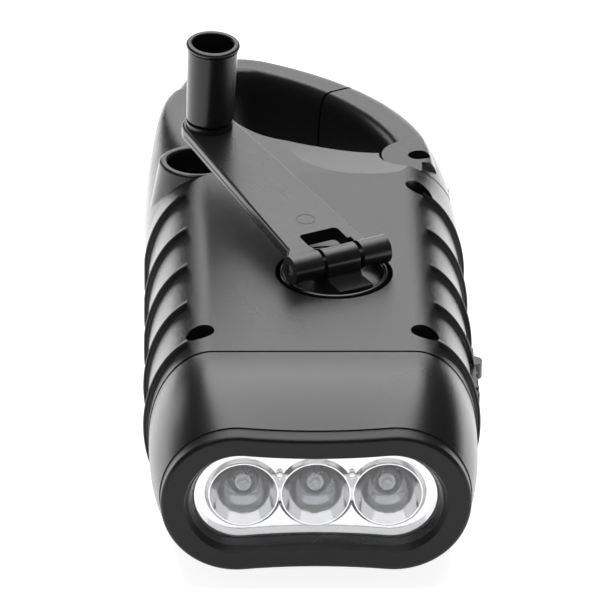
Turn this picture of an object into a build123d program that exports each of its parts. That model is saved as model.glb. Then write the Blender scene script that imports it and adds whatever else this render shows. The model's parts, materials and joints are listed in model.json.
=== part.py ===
from build123d import *
import os
from math import acos, cos, degrees, pi, radians, sin, tan

os.makedirs("parts", exist_ok=True)

# Hand crank flashlight with a carabiner loop, in millimetres.
# +Z is the crank side, the lamp looks along -Y, and the underside rests on z = 0.

# ---------------------------------------------------------------- body
body_width = 55.6
body_height = 33.0
side_round = 10.9          # sideways reach of the elliptical flanks
wall = 2.2
seam_y = -30.4             # joint between the front cap and the two shells
shoulder_y = 38.0          # the straight barrel ends here and the loop's root begins
cavity_end_y = 37.0
fit_gap = 0.1              # clearance of a seated fit
run_gap = 0.05             # radial clearance of a turning fit
free_gap = 0.3             # clearance of pieces that pass or swing
seam_gap = 0.35            # shadow line between the front cap and the shells

mid_z = body_height / 2
half_width = body_width / 2

# ---------------------------------------------------------------- carabiner loop
limb_width = 7.2
limb_height = 30.2
limb_round = 2.6
limb_start = (7.6 - half_width, shoulder_y + 35.4)
limb_heading = 75.0        # degrees from +X
side_radius = 116.4
side_turn = 5.0
corner_radius = 7.3
corner_turn = 98.0
far_radius = 52.4
far_turn = 57.0
latch_center = (7.9, 76.0)  # joint between the fixed limb and the gate
latch_angle = 18.0         # degrees, along the way that the gate's tip swings
latch_reach = 10.0         # from the joint towards the middle of the opening
latch_gap = 0.5
limb_half = limb_height / 2
shoulder_length = 38.0

# ---------------------------------------------------------------- gate
pivot_x = half_width - 6.9
pivot_y = 48.4
boss_radius = 6.5
boss_gap = 0.5             # between the gate's round boss and its seat
lug_radius = 4.8
lug_height = 15.0
spring_radius = 3.3        # torsion spring of the gate, in a pocket of the lug
spring_wire = 0.7
spring_height = 2.4
gate_shank = 1.1
gate_head_radius = 1.8
gate_head_z = 26.0
gate_pilot_z = 3.4
gate_head_height = 1.4
gate_screw_clear = 0.5     # left free below the screw's end

# ---------------------------------------------------------------- gill ribs
rib_front_y = -26.4
rib_pitch = 14.2
rib_count = 5
rib_proud = 0.8
rib_run = 3.4
rib_top_x = half_width - 6.6
rib_root = 0.1             # the fading end of a rib lies this deep in the wall

# ---------------------------------------------------------------- crank and hub
hub_x = half_width - 23.54
hub_y = -1.3
recess_radius = 10.2
recess_depth = 3.2
bearing_skin = 1.8         # floor of the recess, where the shaft turns
socket_x = 8.9 - half_width
socket_y = 43.3
socket_radius = 5.25
socket_depth = 15.5
socket_lip = 1.35
lip_round = 0.6
socket_boss_depth = 12.5
socket_draft = 9.0         # degrees that the socket's boss widens downwards
hinge_height = 3.0         # hinge axis above the top face
hinge_offset = 1.2         # hinge axis in front of the hub's centre
arm_bearing = 27.4         # degrees from +Y towards -X
arm_rise = 4.5             # degrees that the open arm rises from the top face
arm_length = 47.6          # hinge axis to knob axis
knuckle_radius = 2.5
knuckle_half = 3.2
barrel_half = 9.4
pin_radius = 1.0
plate_low = -0.4           # arm plate's faces from the hinge axis
plate_high = 2.1
hub_radius = 9.4
hub_rim = 0.8
hub_rim_round = 0.35
hub_top = body_height + 0.2
hub_floor = body_height - 1.7
tab_top = body_height + 0.6
hub_gap = 0.3              # between the hub's disc and its recess
shaft_radius = 3.0
drive_radius = 2.5
drive_flat = 2.0           # D flat, from the shaft's axis
hub_washer_radius = 3.6
hub_washer_thick = 0.6
hub_screw_radius = 1.0
hub_screw_reach = 6.0
knob_radius = 4.5
knob_foot_radius = 4.2
knob_foot_round = 0.5
knob_neck_radius = 4.35    # where the flange springs from the side
flange_radius = 4.8
flange_height = 0.9
flange_step = 0.2
mouth_round = 0.35
knob_bore = 3.65
knob_length = 15.3
knob_floor = 2.2
knob_lift = 1.0            # boss between the arm's plate and the knob
axle_radius = 1.5
axle_head_radius = 2.8
axle_head_height = 1.2
tab_round = 0.6
tab_front = -8.1           # front end of the hinge's pedestal, from the hub's centre
pin_inset = 0.2            # hinge pin's end inside the open barrel end
barrel_cap = 1.0           # closed end of the other barrel
barrel_flare = 1.5
arm_neck_right = 6.2
arm_neck_left = -8.0
arm_edge_round = 0.5
arm_shoulder = 3.5
arm_tip_radius = 4.9
knuckle_gap_x = 0.05       # middle of the gap between the arm's two barrels
knuckle_play = 1.5
window_x = -0.45
window_width = 7.5
window_low = 2.0
window_high = 6.8
window_round = 0.9

# ---------------------------------------------------------------- rear opening and bevel
bevel_center = (11.5, 56.8)
bevel_radius = 19.0
bevel_angle = 8.0
opening_middle = (0.0, 52.0)
opening_corner = (18.5 - half_width, 57.6)
opening_side = (11.6 - half_width, 76.1)

# ---------------------------------------------------------------- front cap and lamp
rim_y = -50.0              # plane of the three bowls' rims
cup_pitch = 12.0
bowl_radius = 5.63
bowl_depth = 6.35
collar_radius = 6.45
lamp_spread = half_width - 14.7   # lobe centres of the cap's and the bezel's outlines
window_spread = 12.6       # lobe centres of the window's and the reflector's outlines
waist_drop = 0.6
cap_front_y = rim_y - 0.7
cap_lobe = 12.9
cap_skin = 1.8
bezel_lobe = 12.7
bezel_front_y = rim_y - 3.8
bezel_bore = 9.4
bezel_lip = 8.6
nose_bore = 7.9
nose_flare = 0.6
plate_lobe = 7.6           # flat of the reflector inside its border
nose_front_y = rim_y - 2.5
nose_rear_y = rim_y + 3.0
lens_thick = 0.8
lens_front_y = rim_y - 1.1
rebate_lobe = 8.3
nose_lobe = 9.2
spigot_length = 4.0
spigot_thick = 1.0
spigot_inset = wall - spigot_thick
cap_bend_y = rim_y + 8.0   # the cap keeps its full section up to here
cap_draw = 0.5
bezel_skin = 1.3
bezel_flare = 0.7
bezel_round = 0.8
plate_back = 0.8           # reflector plate behind the plane of the rims
plate_skin = 1.0
cup_skin = 0.7
rim_width = 0.2            # flat rim of a cup, before its collar falls away
led_radius = 2.5
led_tip_y = rim_y + 2.3
led_flange = 1.0
led_flange_radius = 2.9
led_board_y = rim_y + 10.9
led_board_lobe = 9.5
board_thick = 1.6
board_post_z = 4.6
board_post_radius = 1.6
board_screw_radius = 0.7
board_screw_head = 1.5
board_screw_reach = 5.0

# ---------------------------------------------------------------- screws
front_screw_x = half_width - 8.75
rear_screw_x = half_width - 7.3
screw_spots = [(front_screw_x, -23.0), (-front_screw_x, -23.0), (rear_screw_x, 33.6), (socket_x, socket_y)]
head_radius = 2.2
head_height = 1.6
shank_radius = 1.1
post_radius = 3.6
post_bore = head_radius + 0.25
head_seat_z = 19.0
pilot_depth = 11.5

# ---------------------------------------------------------------- gear train
stage_one_module = 0.6
stage_two_module = 0.5
crank_teeth = 40
first_pinion_teeth = 12
first_wheel_teeth = 36
second_pinion_teeth = 12
second_wheel_teeth = 32
rotor_teeth = 10
first_bearing = 150.0      # directions from one axle to the next, degrees from +X
second_bearing = 60.0
rotor_bearing = 20.0
pressure_angle = 20.0
backlash = 0.12
idler_collar = 1.9
gear_axle_radius = 0.9
gear_face = 2.4
crank_gear_z = 24.2
first_wheel_z = 20.8
second_wheel_z = 17.4
plate_z = 13.9
plate_thick = 1.6

# ---------------------------------------------------------------- generator
stator_radius = 12.0
stator_low_z = 3.0
stator_height = 10.5
stator_skin = 0.7
claw_count = 6             # per half of the stator
claw_radius = 7.15         # inner faces of the claws
claw_height = 6.8
claw_width = 2.6
bobbin_bore = 7.8
bobbin_skin = 0.6
coil_radius = 10.9
magnet_radius = 6.8
magnet_height = 8.0
rotor_axle_radius = 0.75
cradle_height = 4.0

# ---------------------------------------------------------------- battery, board and switch
cell_radius = 7.75
cell_thick = 6.0
cell_count = 3
cell_gap = 0.1
battery_x = -4.8           # middle of the stack
battery_y = -17.5
holder_wall = 1.2
holder_top_z = 9.0
switch_room = 1.8          # between the switch's body and the wall
board_rear_y = 2.5
board_front_y = -18.8
board_low_z = 5.0
board_high_z = 24.0
switch_y = -12.6           # middle of the pad in the off position
switch_z = 17.2
switch_throw = 4.4
switch_length = 11.0
switch_depth = 4.4
switch_sink = 1.2          # depth of the pad's recess in the flank
switch_height = 6.4
pad_length = 15.0
pad_height = 6.6
pad_thick = 1.5
pad_rise = 0.5             # ridges above the pad
ridge_pitch = 2.4
ridge_count = 4
ridge_width = 0.9
ridge_height = 3.0
pad_round = 0.8
ridge_front_y = -18.7
lump_radius = 1.6          # thumb lump at the pad's rear end
lump_y = -6.9
stem_length = 3.0
stem_height = 2.4


def cross_plane(y):
    """Plane across the body at y, with local x along +X and local y along +Z."""
    return Plane(origin=(0, y, mid_z), x_dir=(1, 0, 0), z_dir=(0, -1, 0))


def oblong(half_w, half_h, reach):
    """Outline with flat top and bottom and elliptical flanks."""
    flat = half_w - reach
    with BuildLine() as outline:
        Line((-flat, half_h), (flat, half_h))
        EllipticalCenterArc((flat, 0), reach, half_h, start_angle=90, arc_size=-180)
        Line((flat, -half_h), (-flat, -half_h))
        EllipticalCenterArc((-flat, 0), reach, half_h, start_angle=270, arc_size=-180)
    return outline.line


def soft_oblong(left, right, half_h, reach, squareness):
    """Outline between x = left and right whose flanks run from elliptical to square."""
    along = reach * squareness
    up = half_h * squareness
    with BuildLine() as outline:
        Line((left + reach, half_h), (right - reach, half_h))
        Bezier((right - reach, half_h), (right - reach + along, half_h), (right, up), (right, 0))
        Bezier((right, 0), (right, -up), (right - reach + along, -half_h), (right - reach, -half_h))
        Line((right - reach, -half_h), (left + reach, -half_h))
        Bezier((left + reach, -half_h), (left + reach - along, -half_h), (left, -up), (left, 0))
        Bezier((left, 0), (left, up), (left + reach - along, half_h), (left + reach, half_h))
    return outline.line


def bone(radius, waist, spread):
    """Outline of two round lobes joined by slightly drawn-in top and bottom lines."""
    drop = radius - waist
    high = (spread**2 - drop**2) / (2 * drop)
    waist_radius = high - waist
    share = radius / (radius + waist_radius)
    tx = spread * (1 - share)
    ty = high * share
    with BuildLine() as outline:
        ThreePointArc((-tx, ty), (0, waist), (tx, ty))
        ThreePointArc((tx, ty), (spread + radius, 0), (tx, -ty))
        ThreePointArc((tx, -ty), (0, -waist), (-tx, -ty))
        ThreePointArc((-tx, -ty), (-spread - radius, 0), (-tx, ty))
    return outline.line


# ================================================================ outer form of both shells
ellipse_share = 0.5523     # squareness at which a soft outline's flanks are elliptical
limb_square = 0.85
shoulder_stations = [
    # share of the length, left and right edges in from the flanks, half height, reach, squareness
    (0.0, 0.0, 0.0, mid_z, side_round, ellipse_share),
    (0.32, 0.1, 1.9, mid_z - 0.5, 7.8, 0.62),
    (0.66, 1.3, 7.8, mid_z - 1.1, 4.0, 0.78),
    (1.0, 4.1, 21.8, limb_half, limb_round, limb_square),
]

with BuildPart() as shoulder:
    for share, left_in, right_in, high, reach, squareness in shoulder_stations:
        with BuildSketch(cross_plane(shoulder_y + share * shoulder_length)):
            add(soft_oblong(left_in - half_width, half_width - right_in, high, reach, squareness))
            make_face()
    loft()

with BuildPart() as loop:
    with BuildLine(Plane.XY.offset(mid_z)) as path:
        heading = (cos(radians(limb_heading)), sin(radians(limb_heading)))
        side_arc = JernArc(limb_start, heading, side_radius, -side_turn)
        corner_arc = JernArc(side_arc @ 1, side_arc % 1, corner_radius, -corner_turn)
        far_arc = JernArc(corner_arc @ 1, corner_arc % 1, far_radius, -far_turn)
    across = (heading[1], -heading[0], 0)
    with BuildSketch(Plane(origin=(*limb_start, mid_z), x_dir=across, z_dir=(*heading, 0))):
        add(soft_oblong(-limb_width / 2, limb_width / 2, limb_half, limb_round, limb_square))
        make_face()
    sweep(path=path.line)

latch_way = (cos(radians(latch_angle)), sin(radians(latch_angle)), 0)
latch_plane = Plane(origin=(*latch_center, 0), x_dir=latch_way, z_dir=(0, 0, 1))

with BuildPart() as fixed_limb:
    add(loop.part)
    with BuildSketch(latch_plane):
        with Locations((-latch_reach, latch_gap / 2)):
            Rectangle(body_width, 2 * body_width, align=(Align.MIN, Align.MAX))
    extrude(amount=2 * body_height, both=True, mode=Mode.SUBTRACT)


def plan(z):
    """Horizontal plane at height z."""
    return Plane.XY.offset(z)


rib_ys = [rib_front_y + rib_pitch * i for i in range(rib_count)]

with BuildPart() as ribs:
    for y in rib_ys:
        with BuildSketch(cross_plane(y)):
            add(oblong(half_width + rib_proud, mid_z + rib_proud, side_round + rib_proud))
            make_face()
        with BuildSketch(cross_plane(y + rib_run)):
            add(oblong(half_width - rib_root, mid_z - rib_root, side_round))
            make_face()
        loft()
    with BuildSketch(plan(mid_z)):
        Rectangle(2 * rib_top_x, 4 * body_width)
    extrude(amount=body_height, both=True, mode=Mode.SUBTRACT)

seat_radius = boss_radius + boss_gap
clear_x = body_width       # well past the solid on the right and behind
clear_y = 2 * body_width
with BuildSketch() as rear_outline:
    with BuildLine():
        near_edge = Line((pivot_x - seat_radius, pivot_y + 1.2), opening_middle)
        corner_edge = TangentArc(opening_middle, opening_corner, tangent=near_edge % 1)
        side_edge = TangentArc(opening_corner, opening_side, tangent=corner_edge % 1)
        Polyline(opening_side, (opening_side[0], clear_y), (clear_x, clear_y),
                 (clear_x, pivot_y), (pivot_x, pivot_y), near_edge @ 0)
    make_face()
    with Locations((pivot_x, pivot_y)):
        Circle(seat_radius)

with BuildPart() as socket_boss:
    with BuildSketch(plan(body_height)):
        with Locations((socket_x, socket_y)):
            Circle(socket_radius + socket_lip)
    extrude(amount=-socket_boss_depth, taper=-socket_draft)
    fillet(socket_boss.edges().group_by(Axis.Z)[-1], lip_round)

with BuildPart() as form:
    with BuildSketch(cross_plane(shoulder_y)):
        add(soft_oblong(-half_width, half_width, mid_z, side_round, ellipse_share))
        make_face()
    extrude(amount=shoulder_y - seam_y)
    add(shoulder.part)
    add(socket_boss.part)
    add(rear_outline.sketch)
    extrude(amount=2 * body_height, both=True, mode=Mode.SUBTRACT)
    with Locations((*bevel_center, body_height)):
        Cone(0, bevel_radius, bevel_radius * tan(radians(bevel_angle)),
             align=(Align.CENTER, Align.CENTER, Align.MAX), mode=Mode.SUBTRACT)
    add(ribs.part)
    add(fixed_limb.part)


# ================================================================ plan of the works
hub_center = (hub_x, hub_y)


def axle_spot(start, teeth_a, teeth_b, module, bearing):
    """Centre of the next axle, at the gear pair's centre distance."""
    reach = module * (teeth_a + teeth_b) / 2
    return (start[0] + reach * cos(radians(bearing)), start[1] + reach * sin(radians(bearing)))


first_spot = axle_spot(hub_center, crank_teeth, first_pinion_teeth, stage_one_module, first_bearing)
second_spot = axle_spot(first_spot, first_wheel_teeth, second_pinion_teeth, stage_two_module, second_bearing)
rotor_spot = axle_spot(second_spot, second_wheel_teeth, rotor_teeth, stage_two_module, rotor_bearing)

roof_z = body_height - wall
recess_floor_z = body_height - recess_depth
bearing_low_z = recess_floor_z - bearing_skin
plate_top_z = plate_z + plate_thick
lug_low_z = mid_z - lug_height / 2
lug_high_z = mid_z + lug_height / 2
spring_z = lug_high_z - spring_height - free_gap
axle_seat = 3.0
axle_wall = 1.2
first_boss_z = crank_gear_z + gear_face + free_gap
second_boss_z = first_wheel_z + gear_face + free_gap
rotor_boss_z = second_wheel_z + gear_face + free_gap
axle_bosses = [
    (first_spot, first_boss_z, gear_axle_radius),
    (second_spot, second_boss_z, gear_axle_radius),
    (rotor_spot, rotor_boss_z, rotor_axle_radius + run_gap),
]
plate_posts = [(7.5 - half_width, -1.0), (13.3 - half_width, 25.0), (half_width - 9.2, 9.0)]
plate_post_radius = 2.0
peg_radius = 1.0
switch_mid_y = switch_y + switch_throw / 2
stem_slot_length = stem_length + switch_throw + 2 * free_gap
stem_slot_height = stem_height + 2 * free_gap
recess_x = half_width - switch_sink
pad_x = recess_x + free_gap
board_x = half_width - wall - switch_room - switch_depth - board_thick
cradle_wall = 1.1
guide_wall = 0.8
guide_length = 2.4
guide_bite = 2.0
board_mid_x = board_x + board_thick / 2
board_guides = [(board_mid_x, board_front_y + guide_length), (board_mid_x, board_rear_y - guide_length)]
hand_screws = screw_spots[:3]
socket_spot = screw_spots[3]
socket_floor_z = body_height - socket_depth


# ================================================================ shells
# posts of the screws that hold the shells together, from wall to wall
with BuildPart() as screw_posts:
    with BuildSketch(plan(wall / 2)):
        with Locations(*hand_screws):
            Circle(post_radius)
    extrude(amount=body_height - wall)
    add(form.part, mode=Mode.INTERSECT)

with BuildPart() as hollow:
    add(form.part)
    # the round seat stays filled at mid height, where the lug carries the gate
    with BuildSketch(plan(lug_low_z)):
        with Locations((pivot_x, pivot_y)):
            Circle(lug_radius)
        with Locations((pivot_x, pivot_y)):
            Rectangle(2 * lug_radius, seat_radius + wall, align=(Align.CENTER, Align.MAX))
    extrude(amount=lug_height)
    with BuildSketch(cross_plane(cavity_end_y)):
        add(oblong(half_width - wall, mid_z - wall, side_round - wall))
        make_face()
    extrude(amount=cavity_end_y - seam_y, mode=Mode.SUBTRACT)
    # spigot that the front cap slides over
    with BuildSketch(cross_plane(seam_y)):
        add(oblong(half_width - spigot_inset, mid_z - spigot_inset, side_round - spigot_inset))
        make_face()
    extrude(amount=spigot_length)
    with BuildSketch(cross_plane(seam_y)):
        add(oblong(half_width - wall, mid_z - wall, side_round - wall))
        make_face()
    extrude(amount=spigot_length, mode=Mode.SUBTRACT)
    add(screw_posts.part)
    # recess, slot and opening of the slide switch
    with BuildSketch(Plane.YZ.offset(recess_x)):
        with Locations((switch_mid_y, switch_z)):
            RectangleRounded(pad_length + switch_throw + 2 * free_gap, pad_height + 2 * free_gap, pad_round)
    extrude(amount=side_round, mode=Mode.SUBTRACT)
    with BuildSketch(Plane.YZ.offset(recess_x - wall)):
        with Locations((switch_mid_y, switch_z)):
            Rectangle(stem_slot_length, stem_slot_height)
    extrude(amount=2 * wall, mode=Mode.SUBTRACT)

with BuildPart() as top_housing:
    add(hollow.part)
    split(bisect_by=plan(mid_z), keep=Keep.TOP)
    # floor and bearing of the crank hub
    with BuildSketch(plan(bearing_low_z)):
        with Locations(hub_center):
            Circle(recess_radius + wall)
    extrude(amount=roof_z - bearing_low_z + wall / 4)
    with BuildSketch(plan(recess_floor_z)):
        with Locations(hub_center):
            Circle(recess_radius)
    extrude(amount=2 * recess_depth, mode=Mode.SUBTRACT)
    with BuildSketch(plan(bearing_low_z)):
        with Locations(hub_center):
            Circle(shaft_radius + run_gap)
    extrude(amount=body_height, mode=Mode.SUBTRACT)
    # bosses that hold the upper ends of the gear axles, and posts that carry the gear plate
    for spot, low, bore in axle_bosses:
        with BuildSketch(plan(low)):
            with Locations(spot):
                Circle(bore + axle_wall)
        extrude(amount=roof_z + wall / 4 - low)
        with BuildSketch(plan(low)):
            with Locations(spot):
                Circle(bore)
        extrude(amount=axle_seat, mode=Mode.SUBTRACT)
    with BuildSketch(plan(plate_top_z)):
        with Locations(*plate_posts):
            Circle(plate_post_radius)
    extrude(until=Until.NEXT)
    with BuildSketch(plan(plate_z)):
        with Locations(*plate_posts):
            Circle(peg_radius)
    extrude(amount=plate_thick)
    # counterbores and clearance holes of the housing screws
    with BuildSketch(plan(head_seat_z)):
        with Locations(*hand_screws):
            Circle(post_bore)
    extrude(amount=body_height, mode=Mode.SUBTRACT)
    with BuildSketch(plan(socket_floor_z)):
        with Locations(socket_spot):
            Circle(socket_radius)
    extrude(amount=body_height, mode=Mode.SUBTRACT)
    with BuildSketch(plan(mid_z)):
        with Locations(*screw_spots):
            Circle(shank_radius + fit_gap)
        with Locations((pivot_x, pivot_y)):
            Circle(gate_shank + run_gap)
    extrude(amount=body_height, mode=Mode.SUBTRACT)
    # pocket of the gate's spring
    with BuildSketch(plan(spring_z)):
        with Locations((pivot_x, pivot_y)):
            Circle(spring_radius + fit_gap)
    extrude(amount=lug_height, mode=Mode.SUBTRACT)
    # rounded mouth of the knob's socket
    top_rings = top_housing.edges().filter_by(GeomType.CIRCLE).group_by(Axis.Z)[-1]
    fillet(top_rings.filter_by(lambda ring: abs(ring.radius - socket_radius) < fit_gap), lip_round)

with BuildPart() as bottom_housing:
    add(hollow.part)
    split(bisect_by=plan(mid_z), keep=Keep.BOTTOM)
    # cradle of the generator
    with BuildSketch(plan(wall - fit_gap)):
        with Locations(rotor_spot):
            Circle(stator_radius + cradle_wall)
    extrude(amount=stator_low_z + cradle_height - wall)
    with BuildSketch(plan(stator_low_z)):
        with Locations(rotor_spot):
            Circle(stator_radius + fit_gap)
    extrude(amount=cradle_height, mode=Mode.SUBTRACT)
    # slotted posts that hold the lower edge of the circuit board
    with BuildSketch(plan(wall - fit_gap)):
        with Locations(*board_guides):
            Rectangle(board_thick + 2 * guide_wall, guide_length)
    extrude(amount=board_low_z + guide_bite - wall)
    with BuildSketch(plan(board_low_z)):
        with Locations(*board_guides):
            Rectangle(board_thick + 2 * fit_gap, guide_length)
    extrude(amount=2 * guide_bite, mode=Mode.SUBTRACT)
    # pilot holes of the housing screws, and the lug's hole
    with BuildSketch(plan(mid_z)):
        with Locations(*screw_spots):
            Circle(shank_radius)
        with Locations((pivot_x, pivot_y)):
            Circle(gate_shank + run_gap)
    extrude(amount=-pilot_depth, mode=Mode.SUBTRACT)

# ================================================================ gate
with BuildPart() as gate_boss:
    with BuildSketch(plan(mid_z - limb_half)):
        with Locations((pivot_x, pivot_y)):
            Circle(boss_radius)
    extrude(amount=limb_height)
    add(shoulder.part, mode=Mode.INTERSECT)

with BuildPart() as gate:
    add(loop.part)
    with BuildSketch(latch_plane):
        with Locations((0, -latch_gap / 2)):
            Rectangle(4 * body_width, body_width, align=(Align.CENTER, Align.MIN))
        with Locations((-latch_reach, 0)):
            Rectangle(2 * body_width, 4 * body_width, align=(Align.MAX, Align.CENTER))
    extrude(amount=2 * body_height, both=True, mode=Mode.SUBTRACT)
    add(gate_boss.part)
    with BuildSketch(plan(lug_low_z - free_gap)):
        with Locations((pivot_x, pivot_y)):
            Circle(seat_radius + fit_gap)
    extrude(amount=lug_height + 2 * free_gap, mode=Mode.SUBTRACT)
    with BuildSketch(plan(gate_pilot_z)):
        with Locations((pivot_x, pivot_y)):
            Circle(gate_shank)
    extrude(amount=body_height, mode=Mode.SUBTRACT)
    with BuildSketch(plan(gate_head_z)):
        with Locations((pivot_x, pivot_y)):
            Circle(gate_head_radius)
    extrude(amount=body_height, mode=Mode.SUBTRACT)

with BuildPart() as gate_screw:
    with BuildSketch(plan(gate_head_z)):
        with Locations((pivot_x, pivot_y)):
            Circle(gate_head_radius - fit_gap)
    extrude(amount=gate_head_height)
    with BuildSketch(plan(gate_pilot_z + gate_screw_clear)):
        with Locations((pivot_x, pivot_y)):
            Circle(gate_shank)
    extrude(amount=gate_head_z - gate_pilot_z)

with BuildPart() as gate_spring:
    with BuildSketch(plan(spring_z)):
        with Locations((pivot_x, pivot_y)):
            Circle(spring_radius)
            Circle(spring_radius - spring_wire, mode=Mode.SUBTRACT)
    extrude(amount=spring_height)


# ================================================================ front cap and lamp
def lamp_outline(lobe, spread=lamp_spread):
    """Outline across the lamp: two round lobes and a slightly drawn-in waist."""
    return bone(lobe, lobe - waist_drop, spread)


cap_rear_y = seam_y - seam_gap
cap_web_y = cap_front_y + cap_skin
cap_inset = cap_skin + fit_gap
bend_inset = cap_draw + cap_skin
socket_inset = spigot_inset - fit_gap
spigot_end_y = seam_y - spigot_length - fit_gap

with BuildPart() as front_cap:
    with BuildSketch(cross_plane(cap_rear_y)):
        add(oblong(half_width - fit_gap, mid_z - fit_gap, side_round))
        make_face()
    with BuildSketch(cross_plane(cap_bend_y)):
        add(oblong(half_width - cap_draw, mid_z - 2 * cap_draw, side_round + cap_draw))
        make_face()
    with BuildSketch(cross_plane(cap_front_y)):
        add(lamp_outline(cap_lobe))
        make_face()
    loft()
    # hollow behind the front web
    with BuildSketch(cross_plane(spigot_end_y)):
        add(oblong(half_width - cap_inset, mid_z - cap_inset, side_round - cap_skin))
        make_face()
    with BuildSketch(cross_plane(cap_bend_y)):
        add(oblong(half_width - bend_inset, mid_z - bend_inset - cap_draw, side_round - cap_skin + cap_draw))
        make_face()
    with BuildSketch(cross_plane(cap_web_y)):
        add(lamp_outline(cap_lobe - cap_skin))
        make_face()
    loft(mode=Mode.SUBTRACT)
    # socket that slides over the spigot
    with BuildSketch(cross_plane(seam_y)):
        add(oblong(half_width - socket_inset, mid_z - socket_inset, side_round - spigot_inset))
        make_face()
    extrude(amount=seam_y - spigot_end_y, mode=Mode.SUBTRACT)
    # nose that holds the window and the reflector
    with BuildSketch(cross_plane(nose_rear_y)):
        add(lamp_outline(nose_lobe, window_spread))
        make_face()
    extrude(amount=nose_rear_y - nose_front_y)
    with BuildSketch(cross_plane(nose_rear_y)):
        add(lamp_outline(rebate_lobe, window_spread))
        make_face()
    extrude(amount=nose_rear_y - lens_front_y, mode=Mode.SUBTRACT)
    with BuildSketch(cross_plane(lens_front_y)):
        add(lamp_outline(nose_bore, window_spread))
        make_face()
    with BuildSketch(cross_plane(nose_front_y)):
        add(lamp_outline(nose_bore + nose_flare, window_spread))
        make_face()
    loft(mode=Mode.SUBTRACT)

with BuildPart() as bezel_ring:
    with BuildSketch(cross_plane(cap_front_y)):
        add(lamp_outline(bezel_lobe))
        make_face()
    extrude(amount=cap_front_y - bezel_front_y)
    fillet(bezel_ring.edges().group_by(Axis.Y)[0], bezel_round)
    with BuildSketch(cross_plane(cap_front_y)):
        add(lamp_outline(bezel_bore))
        make_face()
    extrude(amount=cap_front_y - bezel_front_y - bezel_skin, mode=Mode.SUBTRACT)
    with BuildSketch(cross_plane(bezel_front_y + bezel_skin)):
        add(lamp_outline(bezel_lip, window_spread))
        make_face()
    with BuildSketch(cross_plane(bezel_front_y)):
        add(lamp_outline(bezel_lip + bezel_flare, window_spread))
        make_face()
    loft(mode=Mode.SUBTRACT)

with BuildPart() as lens_window:
    with BuildSketch(cross_plane(lens_front_y + lens_thick)):
        add(lamp_outline(rebate_lobe - fit_gap, window_spread))
        make_face()
    extrude(amount=lens_thick)

cup_xs = [-cup_pitch, 0, cup_pitch]
lens_rear_y = lens_front_y + lens_thick
plate_front_y = rim_y + plate_back
plate_rear_y = plate_front_y + plate_skin
board_posts = [(-cup_pitch / 2, board_post_z), (cup_pitch / 2, -board_post_z)]

with BuildPart() as reflector:
    with BuildSketch(cross_plane(plate_rear_y)):
        add(lamp_outline(rebate_lobe - 2 * fit_gap, window_spread))
        make_face()
    extrude(amount=plate_rear_y - lens_rear_y)
    with BuildSketch(cross_plane(plate_front_y)):
        add(lamp_outline(plate_lobe, window_spread))
        make_face()
    extrude(amount=plate_front_y - lens_rear_y, mode=Mode.SUBTRACT)
    # the three cups, each outside first, then their bowls and the holes of the lamps
    for x in cup_xs:
        with BuildSketch(Plane(origin=(x, rim_y, mid_z), x_dir=(1, 0, 0), z_dir=(0, 0, 1))):
            with BuildLine():
                Polyline((0, 0), (bowl_radius + rim_width, 0), (collar_radius, plate_back))
                Bezier((collar_radius, plate_back), (collar_radius / 2, bowl_depth + cup_skin),
                       (0, bowl_depth + cup_skin))
                Line((0, bowl_depth + cup_skin), (0, 0))
            make_face()
        revolve(axis=Axis((x, rim_y, mid_z), (0, 1, 0)))
    with BuildSketch(cross_plane(led_board_y)):
        with Locations(*board_posts):
            Circle(board_post_radius)
    extrude(amount=led_board_y - plate_rear_y + plate_skin / 2)
    for x in cup_xs:
        with BuildSketch(Plane(origin=(x, rim_y, mid_z), x_dir=(1, 0, 0), z_dir=(0, 0, 1))):
            with BuildLine():
                Line((0, 0), (bowl_radius, 0))
                Bezier((bowl_radius, 0), (bowl_radius / 2, bowl_depth), (0, bowl_depth))
                Line((0, bowl_depth), (0, 0))
            make_face()
        revolve(axis=Axis((x, rim_y, mid_z), (0, 1, 0)), mode=Mode.SUBTRACT)
    with BuildSketch(cross_plane(led_board_y)):
        with Locations(*[(x, 0) for x in cup_xs]):
            Circle(led_radius + fit_gap)
    extrude(amount=led_board_y - rim_y, mode=Mode.SUBTRACT)
    with BuildSketch(cross_plane(led_board_y)):
        with Locations(*board_posts):
            Circle(board_screw_radius)
    extrude(amount=board_screw_reach, mode=Mode.SUBTRACT)

led_length = led_board_y - led_tip_y
with BuildPart() as leds:
    for x in cup_xs:
        with BuildSketch(Plane(origin=(x, led_board_y, mid_z), x_dir=(1, 0, 0), z_dir=(0, 0, 1))):
            with BuildLine():
                Polyline((0, 0), (led_flange_radius, 0), (led_flange_radius, -led_flange),
                         (led_radius, -led_flange), (led_radius, led_radius - led_length))
                CenterArc((0, led_radius - led_length), led_radius, 0, -90)
                Line((0, -led_length), (0, 0))
            make_face()
        revolve(axis=Axis((x, led_board_y, mid_z), (0, 1, 0)))

with BuildPart() as led_board:
    with BuildSketch(cross_plane(led_board_y + board_thick)):
        add(lamp_outline(led_board_lobe))
        make_face()
    extrude(amount=board_thick)
    with BuildSketch(cross_plane(led_board_y + board_thick)):
        with Locations(*board_posts):
            Circle(board_screw_radius + fit_gap)
    extrude(amount=board_thick, mode=Mode.SUBTRACT)

with BuildPart() as led_board_screws:
    with BuildSketch(cross_plane(led_board_y + board_thick)):
        with Locations(*board_posts):
            Circle(board_screw_radius)
    extrude(amount=board_thick + board_screw_reach - free_gap)
    with BuildSketch(cross_plane(led_board_y + board_thick)):
        with Locations(*board_posts):
            Circle(board_screw_head)
    extrude(amount=-board_screw_head / 2)

# ================================================================ housing screws
with BuildPart() as housing_screws:
    for spot in screw_spots:
        seat = socket_floor_z if spot == socket_spot else head_seat_z
        with BuildSketch(plan(seat)):
            with Locations(spot):
                Circle(head_radius)
        extrude(amount=head_height)
        with BuildSketch(plan(seat)):
            with Locations(spot):
                Circle(shank_radius)
        extrude(amount=mid_z - pilot_depth + free_gap - seat)

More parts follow.
